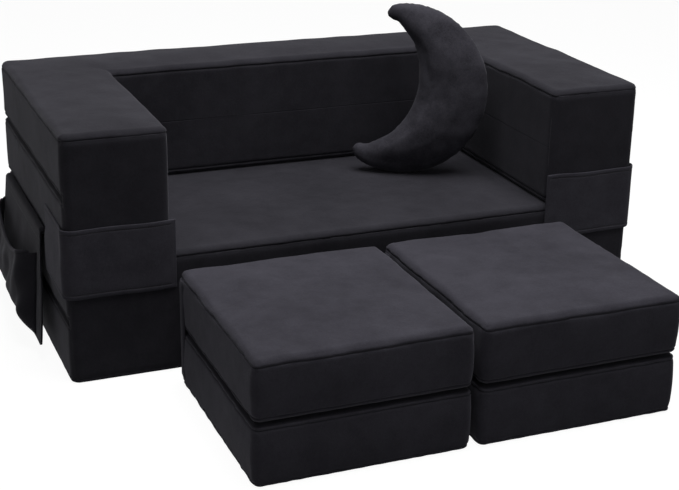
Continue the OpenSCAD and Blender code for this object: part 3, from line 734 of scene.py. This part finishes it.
def puff(obj, voxel, cap, sink=0.4):
    """Blows a slightly small closed piece up like stuffed fabric. No point moves far or sinks in."""
    scene = bpy.context.scene
    remesh = obj.modifiers.new("even mesh", "REMESH")
    remesh.mode, remesh.voxel_size = "VOXEL", voxel * MM
    even = plain_mesh(obj)
    start = point_rows(even)
    cloth = obj.modifiers.new("cloth", "CLOTH")
    cloth.settings.quality = CLOTH_QUALITY
    cloth.settings.mass = CLOTH_MASS
    cloth.settings.use_pressure = True
    cloth.settings.uniform_pressure_force = CLOTH_PRESSURE
    cloth.settings.effector_weights.gravity = 0
    cloth.point_cache.frame_start, cloth.point_cache.frame_end = 1, CLOTH_FRAMES
    for number in range(1, CLOTH_FRAMES + 1):
        scene.frame_set(number)
    graph = bpy.context.evaluated_depsgraph_get()
    step = point_rows(obj.evaluated_get(graph).to_mesh()) - start
    obj.evaluated_get(graph).to_mesh_clear()
    obj.modifiers.clear()
    scene.frame_set(1)
    way = point_rows(even, "normal")
    step -= way * np.minimum(0, np.einsum("ij,ij->i", step, way) + sink * MM)[:, None]
    length = np.maximum(np.linalg.norm(step, axis=1), 1e-9)
    step *= np.minimum(1, cap * MM / length)[:, None]
    even.vertices.foreach_set("co", (start + step).ravel())
    even.update()


# The sofa's four layers

# The seat's crown: its height, its reach, and where it starts off the arms, the front and the back
SEAT_CROWN, SEAT_REACH, SEAT_STARTS = 5.2, 75, (6, 16, 3)


def seat_lift(x, y, depth):
    """The crown of the seat's free part, between the arms and in front of the back."""
    arm, front, back = SEAT_STARTS
    free = np.minimum.reduce([ARM_IN - arm - np.abs(x), y + HALF_D - front, BACK_IN - back - y])
    return SEAT_CROWN * smooth(free / SEAT_REACH)


def make_layers(finish):
    layers = {
        "upper_top": dict(rects=ARMS, low=3 * LAYER_H, lift=crown(3.0, 62), seed=11, top_free=True,
                          tight="below", slack=0.9),
        "upper_low": dict(rects=ARMS, low=2 * LAYER_H, seed=23, tight="above", radii=(EDGE_R, SLIT_R),
                          seams=(TOP_SEAM, SLIT_SEAM)),
        "seat": dict(rects=SLAB, low=LAYER_H, lift=seat_lift, ends=3.6, seed=37),
        "base": dict(rects=SLAB, low=0, ends=3.6, sides=0.0, seed=53, soft=0.6, radii=(FLOOR_R, SLIT_R),
                     seams=(FLOOR_SEAM, SLIT_SEAM))}
    for body, form in layers.items():
        obj = foam_block(body + "_padding", height=SLAB_H, material=finish["velvet"], **form)
        dress(obj, body)


# Fabric that joins layers


def upright_sheet(path, ways, levels):
    """Middle points and outward directions of a sheet that stands along a path."""
    mid = np.zeros((len(path), len(levels), 3))
    normals = np.zeros_like(mid)
    mid[..., :2], mid[..., 2] = np.asarray(path)[:, None], np.asarray(levels)[None]
    normals[..., :2] = np.asarray(ways)[:, None]
    return mid, normals


def run_along(path):
    """How far along its path each point lies."""
    return np.concatenate([[0], np.cumsum(np.linalg.norm(np.diff(path, axis=0), axis=1))])


def fold_sheet(name, path, ways, levels, material, thick=1.1, stand=0.75, seed=5):
    """Fabric stretched over the fronts of two layers, tucked in at its edges."""
    mid, normals = upright_sheet(path, ways, levels)
    run, z = run_along(path), np.array(levels, float)
    to_end = np.minimum(run, run[-1] - run)[:, None]
    to_top = np.minimum(z - z[0], z[-1] - z)[None]
    tuck = 1.5 * fade(to_end, 0, 9) + 1.6 * fade(to_top, 0, 6)
    wave = 0.25 * sheet_ripple(mid, 120, seed) * smooth(to_top / 30)
    mid += normals * (stand - tuck + wave)[..., None]
    return shell(name, mid, normals, thick, material)


def corner_turn(centre, start, stop, radius=CORNER_R):
    """Points and outward directions round a corner, by angles in degrees from +X."""
    turns = np.radians(np.linspace(start, stop, 10))
    ways = np.column_stack([np.cos(turns), np.sin(turns)])
    return np.asarray(centre) + radius * ways, ways


def joined(*parts):
    """One path from corners' turns, with points along the straight runs between them."""
    points, ways = [parts[0][0]], [parts[0][1]]
    for before, after in zip(parts, parts[1:]):
        first, last = before[0][-1], after[0][0]
        count = max(2, int(np.linalg.norm(last - first) / 8))
        share = np.linspace(0, 1, count + 1)[1:-1, None]
        points += [first + (last - first) * share, after[0]]
        ways += [np.repeat(after[1][:1], count - 1, 0), after[1]]
    return np.concatenate(points), np.concatenate(ways)


def front_path(near_x, far_x):
    """Along a front, from round one corner to round the next. Both corners' centres are given."""
    y = -HALF_D + CORNER_R
    return joined(corner_turn((near_x, y), 205, 270), corner_turn((far_x, y), 270, 335))


def make_folds(finish):
    cloth = finish["velvet"]
    out_x, in_x = HALF_W - CORNER_R, ARM_IN + CORNER_R
    levels = [212, 214, 217, 221] + list(np.linspace(228, 380, 22)) + [384, 387, 389, 390.5]
    for side, x in (("left", -1), ("right", 1)):
        path, ways = front_path(*sorted((x * out_x, x * in_x)))
        obj = fold_sheet(side + "_arm_front", path, ways, levels, cloth, seed=61 + x)
        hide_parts(side + "_arm_fold")
        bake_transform(obj)
    levels = [6, 8, 11, 15] + list(np.linspace(24, 178, 24)) + [183, 186, 188, 189.5]
    stand = np.where(np.array(levels) < LAYER_H, 0.1, 0.6)[None]
    path, ways = front_path(-out_x, out_x)
    obj = fold_sheet("base_front", path, ways, levels, cloth, thick=0.8, stand=stand, seed=71)
    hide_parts("base_fold")
    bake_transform(obj)


# Bands

BAND_LOW, BAND_H, BAND_T, BAND_HEM = 143.0, 112.0, 2.4, 7.0
BAND_TAIL, BAND_BEND = 120.0, 9.0
BAND_SIDE_X, BAND_FRONT_Y = HALF_W + 4.2 + BAND_T / 2, HALF_D + 2.4 + BAND_T / 2
BAND_EDGE_LINES = [0, 0.3, 0.8, 1.3, 3, 5, 6.2, 7, 7.8, 9, 12]
BAND_END_LINES = np.array([0.3, 0.8, 1.4])
BAND_LEAN, BAND_WAVE, BAND_DROOP = 3.1, 0.3, 1.6


def band_path(x):
    """Middle line of a band, from its tail on the arm's side to its end on the front."""
    corner_x, corner_y = HALF_W - CORNER_R, -HALF_D + CORNER_R
    wide, deep = BAND_SIDE_X - corner_x, BAND_FRONT_Y + corner_y
    points = [(x * BAND_SIDE_X, y) for y in np.linspace(corner_y + BAND_TAIL, corner_y, 25)]
    ways = [(x, 0.0)] * len(points)
    for u in np.radians(np.linspace(0, 90, 13))[1:]:
        points.append((x * (corner_x + wide * math.cos(u)), corner_y - deep * math.sin(u)))
        ways.append((x * math.cos(u), -math.sin(u)))
    front = [(x * end, -BAND_FRONT_Y) for end in np.linspace(corner_x, ARM_IN - 5, 32)[1:]]
    return np.array(points + front), np.array(ways + [(0.0, -1.0)] * len(front))


def band_run(x):
    """A band's middle line with fine steps at its ends, and how far along it each point lies."""
    path, ways = band_path(x)
    coarse = run_along(path)
    run = np.sort(np.concatenate([coarse, BAND_END_LINES, coarse[-1] - BAND_END_LINES]))
    path, ways = (np.column_stack([np.interp(run, coarse, line[:, k]) for k in (0, 1)])
                  for line in (path, ways))
    return run, path, ways


def settle_band(mid, normals, run, z, x):
    """Leans a band in over the upper layer, waves it a little and lets it droop between its ends."""
    to_end = np.minimum(run, run[-1] - run)[:, None]
    lean = -BAND_LEAN * fade(run[:, None], 100, 36) * smooth((z[None] - 196) / 26)
    wave = BAND_WAVE * sheet_ripple(mid, 90, 81 + x) * smooth(to_end / 20)
    wave = np.where(wave > 0, wave * smooth((z[None] - 190) / 20), wave)
    mid += normals * (lean + wave)[..., None]
    share = (run / run[-1])[:, None]
    mid[..., 2] += 0.8 * ripple(np.column_stack([run, run * 0, run * 0]), 120, 91 + x)[:, None]
    mid[..., 2] -= BAND_DROOP * np.sin(math.pi * share) * smooth(share * 3)


def hem_rows(face, run, z):
    """Where the stitches of a band's hem run, along its edges and across its ends."""
    within = (run > STITCH_IN) & (run < run[-1] - STITCH_IN)
    rows = [face[within, np.argmin(np.abs(z - BAND_LOW - at))] for at in (BAND_HEM, BAND_H - BAND_HEM)]
    within = (z > z[0] + BAND_HEM) & (z < z[-1] - BAND_HEM)
    return rows + [face[np.argmin(np.abs(run - at)), within] for at in (BAND_HEM, run[-1] - BAND_HEM)]


def make_band(side, x, finish, tree):
    z = np.array(BAND_EDGE_LINES + list(np.linspace(18, 94, 13))
                 + [BAND_H - line for line in reversed(BAND_EDGE_LINES)]) + BAND_LOW
    run, path, ways = band_run(x)
    mid, normals = upright_sheet(path, ways, z)
    settle_band(mid, normals, run, z, x)
    hem = np.minimum(np.minimum(z - z[0], z[-1] - z)[None], np.minimum(run, run[-1] - run)[:, None])
    seam_gap = np.abs(hem - BAND_HEM)
    thick = rim(hem, BAND_T) + 0.5 * smooth((hem - 1) / 2) * fade(hem, 6, 1.5)
    thick -= 0.55 * dent(seam_gap, 1.1)
    obj = shell(side + "_band", mid, normals, thick, finish["band_velvet"],
                nearness(seam_gap, 3))
    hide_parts(side + "_band_side", side + "_band_flap")
    rows = hem_rows(mid + normals * (thick / 2 - 0.1)[..., None], run, z)
    thread = run_links(side + "_band_stitches", tree, rows, STITCH_PITCH, STITCH_SIZE,
                       finish["thread"])
    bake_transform(obj)
    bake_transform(thread)


def make_bands(finish, tree):
    make_band("left", -1, finish, tree)
    make_band("right", 1, finish, tree)


# Side pocket, in a frame of its own that hangs tilted from its hem

POCKET_L, POCKET_DROP, POCKET_FLARE = 315.0, 176.0, 60.0
POCKET_AT, POCKET_TILT = (-499.575, -100, 199.85), math.radians(6)
HEM_R, PANEL_T, POUCH_T, RIM_R = 5.5, 3.0, 2.2, 2.4
PANEL_CORNER_R = 16.0
PANEL_STITCHES, HEM_STITCH_DROP = (7, 12), 14
POUCH_LOW, POUCH_H, POUCH_BELLY, MOUTH_DIP = 5.0, 132.0, 28.0, 0.24
# How far the pouch's front edge is behind the panel's, its foot ahead of its mouth, and its back end
# from the panel's
POUCH_FRONT, POUCH_FOOT, POUCH_END = 24, 25, 5
POUCH_L = 330
RIM_ENDS = (0.03, 0.97)


def on_hem(local):
    """From the pocket's own frame to the sofa's."""
    local = np.asarray(local, float)
    x = local[..., 0] * math.cos(POCKET_TILT) + local[..., 2] * math.sin(POCKET_TILT)
    z = -local[..., 0] * math.sin(POCKET_TILT) + local[..., 2] * math.cos(POCKET_TILT)
    return np.stack([x + POCKET_AT[0], local[..., 1] + POCKET_AT[1], z + POCKET_AT[2]], -1)


def panel_front(drop):
    """Where the panel's slanted front edge is, this far down."""
    return -POCKET_FLARE * drop / POCKET_DROP


def pouch_out(u, v):
    """How far the pouch stands off: its belly, its sag and small creases."""
    hold = np.sin(math.pi / 2 * np.clip(np.minimum(u, 1 - u) / 0.12, 0, 1))
    swell = hold * np.sin(math.pi / 2 * np.minimum(1, v / 0.3)) ** 0.6 * (1 - 0.5 * u)
    sag = 3 * hold * np.sin(math.pi * v) * np.sin(2 * math.pi * 2.5 * (u + v / 2))
    crease = 5.5 * u + 2.2 * v + 0.3 * np.sin(5 * v)
    fold = 1.3 * hold * np.sin(math.pi * v) * np.sin(2 * math.pi * crease)
    return np.maximum(0, POUCH_BELLY * swell + sag + fold)


def pouch_points(u, v):
    """The middle of the pouch's cloth, along its length and up to its mouth."""
    front = POUCH_FRONT + panel_front(POCKET_DROP - POUCH_LOW - POUCH_H) - POUCH_FOOT * (1 - v)
    y = front + u * (POCKET_L - POUCH_END - front)
    z = POUCH_LOW - POCKET_DROP + v * POUCH_H * (1 - MOUTH_DIP * np.sin(math.pi * u) * v)
    return np.stack([-HEM_R - pouch_out(u, v) - POUCH_T / 2, y, z], -1)


def round_panel(y, v, r=PANEL_CORNER_R):
    """Rounds the panel's two lower corners, and lets its front edge wander a little."""
    front, up = panel_front(v), POCKET_DROP - v
    for side, out in ((1, y - front), (-1, POCKET_L - y)):
        a, b = r - out, r - up
        near = (a > 0) & (b > 0)
        scale = np.where(near, np.maximum(a, b) / np.maximum(np.hypot(a, b), 1e-9), 1)
        y = y + side * np.where(near, a * (1 - scale), 0)
        v = v - np.where(near, b * (1 - scale), 0)
    wander = 1.6 * np.sin(v / 21.0) * fade(y - front, 0, 40) * smooth(v / 30)
    return y + wander, v


def make_panel(finish):
    down = np.concatenate([[0, 2, 4, 6], np.linspace(10, POCKET_DROP - 10, 26),
                           POCKET_DROP - np.array([6, 3, 1.5, 0.6, 0])])
    across = np.concatenate([[0, 0.002, 0.006, 0.012, 0.02, 0.03, 0.04], np.linspace(0.06, 0.94, 34),
                             [0.97, 0.98, 0.988, 0.994, 0.998, 1]])
    v, u = np.meshgrid(down, across, indexing="ij")
    y, v = round_panel(panel_front(v) + u * (POCKET_L - panel_front(v)), v)
    local = np.stack([np.full_like(y, PANEL_T / 2 - HEM_R), y, -v], -1)
    local[..., 0] += 0.5 * sheet_ripple(local, 80, 101) * smooth(v / 60)
    edge = np.minimum.reduce([y - panel_front(v), POCKET_L - y, POCKET_DROP - v])
    gap = np.minimum(*(np.abs(edge - inset) for inset in PANEL_STITCHES))
    thick = rim(edge, PANEL_T) - 0.7 * dent(gap, 1.2)
    ways = np.zeros_like(local)
    ways[..., 0] = -1
    panel = shell("pocket_back", on_hem(local), on_hem(ways) - on_hem(np.zeros(3)), thick,
                  finish["pocket_velvet"], nearness(gap, 3))
    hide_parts("pocket_panel")
    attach(panel, "pocket")


def rounded_end(distance, reach, least):
    """The share of a roll's radius near its end."""
    return 1 if distance > reach else math.sqrt(max(least, 1 - (1 - distance / reach) ** 2))


def make_hem(finish):
    """The rolled hem that is held in the slit."""
    rows = []
    for y in np.linspace(0, POCKET_L, 60):
        r = HEM_R * rounded_end(min(y, POCKET_L - y), 3, 0.05)
        rows.append(ring((0, y, 0), r, r, 28))
    hem = tube("pocket_hem", on_hem(rows), finish["pocket_velvet"])
    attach(hem, "pocket")


def make_pouch(finish):
    cols = np.concatenate([np.linspace(0, 0.12, 12), np.linspace(0.12, 0.88, 52)[1:-1],
                           np.linspace(0.88, 1, 12)])
    lines = np.concatenate([np.linspace(0, 0.3, 16), np.linspace(0.3, 1, 24)[1:]])
    v, u = np.meshgrid(lines, cols, indexing="ij")
    place = on_hem(pouch_points(u, v))
    ways = np.cross(np.gradient(place, axis=1), np.gradient(place, axis=0))
    ways /= np.maximum(np.linalg.norm(ways, axis=2), 1e-9)[..., None]
    ways *= np.where(ways[..., 0:1].mean() > 0, -1, 1)
    border = np.minimum.reduce([u * POUCH_L, (1 - u) * POUCH_L, v * POUCH_H])
    pouch = shell("pocket_bag", place, ways, POUCH_T, finish["pocket_velvet"],
                  nearness(np.abs(border - 5), 3))
    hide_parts("pocket_pouch")
    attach(pouch, "pocket")


def make_rim(finish):
    """The bound edge of the pouch's mouth."""
    rows = []
    for u in np.linspace(*RIM_ENDS, 70):
        x, y, z = pouch_points(np.array(u), np.array(1.0))
        r = RIM_R * rounded_end(min(u - RIM_ENDS[0], RIM_ENDS[1] - u), 0.01, 0.08)
        rows.append(ring((x, y, z + RIM_R - 0.6), r, r * 1.35, 14))
    binding = tube("pocket_rim", on_hem(rows), finish["binding"])
    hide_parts("pocket_binding")
    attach(binding, "pocket")


def make_pocket(finish, tree):
    make_panel(finish)
    make_hem(finish)
    make_pouch(finish)
    make_rim(finish)
    drops = np.linspace(STITCH_IN, POCKET_DROP - STITCH_IN, 40)
    rows = [on_hem([(-HEM_R - 0.1, panel_front(d) + inset, -d) for d in drops]) for inset in PANEL_STITCHES]
    along = np.linspace(STITCH_IN, POCKET_L - STITCH_IN, 50)
    rows.append(on_hem([(-HEM_R - 0.15, y, -HEM_STITCH_DROP) for y in along]))
    thread = run_links("pocket_stitches", tree, rows, STITCH_PITCH, STITCH_SIZE, finish["thread"])
    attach(thread, "pocket")


# Moon pillow

MOON_R, MOON_INNER_R, MOON_SHIFT, MOON_T, MOON_TIP_R = 153.0, 141.5, 116.0, 66.0, 15.0
MOON_AT, MOON_TURNS = (167.8, -2.5, 356.26), (("Z", -28), ("X", -6), ("Y", 12.5))
MOON_LESS, MOON_VOXEL, MOON_CAP = 0.8, 4.5, 5.0
# The share of the crescent's reach that is kept, how its rings crowd to its tips, how blunt and how
# full these are, how its thickness follows its width, and how flat its sides are
MOON_REACH, MOON_CROWD, MOON_BLUNT, MOON_TIP_FULL, MOON_SWELL, MOON_FLAT = 0.97, 1.25, 30, 0.5, 0.55, 0.85


def moon_matrix():
    place = Matrix.Translation(Vector(MOON_AT))
    for axis, turn in MOON_TURNS:
        place = place @ Matrix.Rotation(math.radians(turn), 4, axis)
    return np.array(place)


def moon_half_width(a):
    """Half the crescent's width, by the angle from its middle."""
    inner = -MOON_SHIFT * math.cos(a) + math.sqrt(MOON_INNER_R ** 2 - (MOON_SHIFT * math.sin(a)) ** 2)
    return (MOON_R - inner) / 2


def moon_points(rings, sides, less):
    """Rings of the crescent in its own frame, thickest along its middle."""
    cosine = (MOON_R ** 2 + MOON_SHIFT ** 2 - MOON_INNER_R ** 2) / (2 * MOON_R * MOON_SHIFT)
    reach = math.pi - math.acos(cosine)
    rows = []
    for i in range(rings + 1):
        t = 2 * i / rings - 1
        t = math.copysign(1 - (1 - abs(t)) ** MOON_CROWD, t)
        a = (reach * MOON_REACH - less / MOON_R) * t
        end = max(math.sqrt(max(0, 1 - abs(t) ** MOON_BLUNT)), MOON_TIP_FULL)
        half = max(moon_half_width(a), MOON_TIP_R)
        w = half * end - less
        h = MOON_T / 2 * (half / moon_half_width(0)) ** MOON_SWELL * end - less
        row = []
        for b in np.linspace(0, 2 * math.pi, sides, endpoint=False):
            rise = math.sin(b)
            r = MOON_R - half + w * math.cos(b)
            y = h * math.copysign(abs(rise) ** MOON_FLAT, rise)
            row.append((r * math.cos(a), y, r * math.sin(a)))
        rows.append(row)
    return np.array(rows)


def moon_relief(local):
    """How far the cover stands out: puckers beside its rim's seam, the seam's groove, and waves."""
    to_rim, angle = np.abs(local[:, 1]), np.arctan2(local[:, 2], local[:, 0])
    pucker = np.sin(angle * 61 + 3 * np.sin(angle * 7)) + 0.6 * np.sin(angle * 103 + 1.3)
    out = 0.4 * pucker * np.exp(-to_rim / 9) - 0.7 * dent(to_rim, 2.4)
    return out + (0.9 * ripple(local, 95, 131) + 0.45 * ripple(local, 38, 133)) * smooth(to_rim / 12)


def make_moon(finish):
    place = moon_matrix()
    turn, centre = place[:3, :3], place[:3, 3]
    rows = moon_points(84, 40, MOON_LESS)
    obj = tube("moon_pillow_padding", rows @ turn.T + centre, finish["moon_velvet"])
    puff(obj, MOON_VOXEL, MOON_CAP)
    mesh = obj.data
    co = point_rows(mesh).astype(float) / MM
    local = (co - centre) @ turn
    co += point_rows(mesh, "normal").astype(float) * moon_relief(local)[:, None]
    mesh.vertices.foreach_set("co", (co * MM).astype(np.float32).ravel())
    near = mesh.attributes.get("seam_and_slit_shade") or mesh.attributes.new("seam_and_slit_shade", "FLOAT", "POINT")
    near.data.foreach_set("value", nearness(np.abs(local[:, 1]), 5).astype(np.float32))
    mesh.update()
    mesh.shade_smooth()
    if not mesh.materials:
        mesh.materials.append(finish["moon_velvet"])
    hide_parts("moon_pillow_cover")
    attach(obj, "pillow")


# Ottomans

def make_ottomans(finish):
    for side, x in (("left", -1), ("right", 1)):
        rect = [(x * MAT_X - MAT_W / 2, MAT_Y - MAT_D / 2, x * MAT_X + MAT_W / 2, MAT_Y + MAT_D / 2)]
        for level, name in enumerate(("low", "top")):
            mat = f"{side}_ottoman_{name}"
            obj = foam_block(mat + "_padding", rect, level * MAT_H, MAT_H - LAYER_GAP, finish["ottoman_lit_velvet"],
                             lift=crown(4.0, 95) if level else None, sides=2.6, corner=MAT_CORNER_R,
                             radii=(SLIT_R, EDGE_R) if level else (FLOOR_R, SLIT_R),
                             seams=(SLIT_SEAM, TOP_SEAM) if level else (FLOOR_SEAM, SLIT_SEAM),
                             seed=151 + 10 * level + x, top_free=level == 1, zip_run="side",
                             centre=(x * MAT_X, MAT_Y), coarse=10, soft=1.5, slack=1.4 * level)
            dress(obj, mat)
        make_ottoman_back(side, x, finish)


def make_ottoman_back(side, x, finish, tail=16.0):
    """Fabric that joins an ottoman's two mats at the back, and closes the slit round the corners."""
    low_x, high_x, rear = x * MAT_X - MAT_W / 2, x * MAT_X + MAT_W / 2, MAT_Y + MAT_D / 2
    corner_y = rear - MAT_CORNER_R
    path, ways = joined(
        (np.array([(high_x, corner_y - tail)]), np.array([(1.0, 0.0)])),
        corner_turn((high_x - MAT_CORNER_R, corner_y), 0, 90, MAT_CORNER_R),
        corner_turn((low_x + MAT_CORNER_R, corner_y), 90, 180, MAT_CORNER_R),
        (np.array([(low_x, corner_y - tail)]), np.array([(-1.0, 0.0)])))
    levels = [14, 16, 19, 23] + list(np.linspace(30, 160, 20)) + [167, 171, 174, 176]
    obj = fold_sheet(side + "_ottoman_back", path, ways, levels, finish["ottoman_lit_velvet"], stand=2.9,
                     seed=171 + x)
    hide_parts(side + "_ottoman_fold")
    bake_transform(obj)


# Zips, and the solids that stay

def make_teeth(finish, tree, body, axis, count):
    """Closed coil teeth along a zip's tape, on top of the coil's solid."""
    low, high = (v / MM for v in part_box(body + "_zip"))
    line = []
    for v in np.linspace(low[axis] + 5, high[axis] - 5, count):
        point = [high.x + 0.05, high.y + 0.05, (low.z + high.z) / 2]
        point[axis] = v
        line.append(point)
    teeth = run_links(body + "_zip_teeth", tree, [line], TOOTH_PITCH, TOOTH_SIZE, finish["zip_teeth"])
    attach(teeth, body)


def make_zips(finish, tree):
    for layer in ("upper_top", "upper_low", "seat", "base"):
        make_teeth(finish, tree, layer, axis=0, count=40)
    for mat in ("left_ottoman_low", "left_ottoman_top", "right_ottoman_low", "right_ottoman_top"):
        make_teeth(finish, tree, mat, axis=1, count=30)


def finish_cad_nodes(finish):
    """Materials for the solids that stay: cores, fill, zips, sliders, and hook and loop patches."""
    endings = {"foam": "foam", "fill": "fill", "zip": "zip_tape", "slider": "zip_slider",
               "hooks": "hook_and_loop", "loops": "hook_and_loop"}
    for name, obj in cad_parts.items():
        key = endings.get(name.split("_")[-1])
        if key:
            obj.data.materials.clear()
            obj.data.materials.append(finish[key])


make_camera()
make_studio()
finish = make_finishes()
links = link_tree()
make_layers(finish)
make_folds(finish)
make_bands(finish, links)
make_pocket(finish, links)
make_moon(finish)
make_ottomans(finish)
make_zips(finish, links)
finish_cad_nodes(finish)
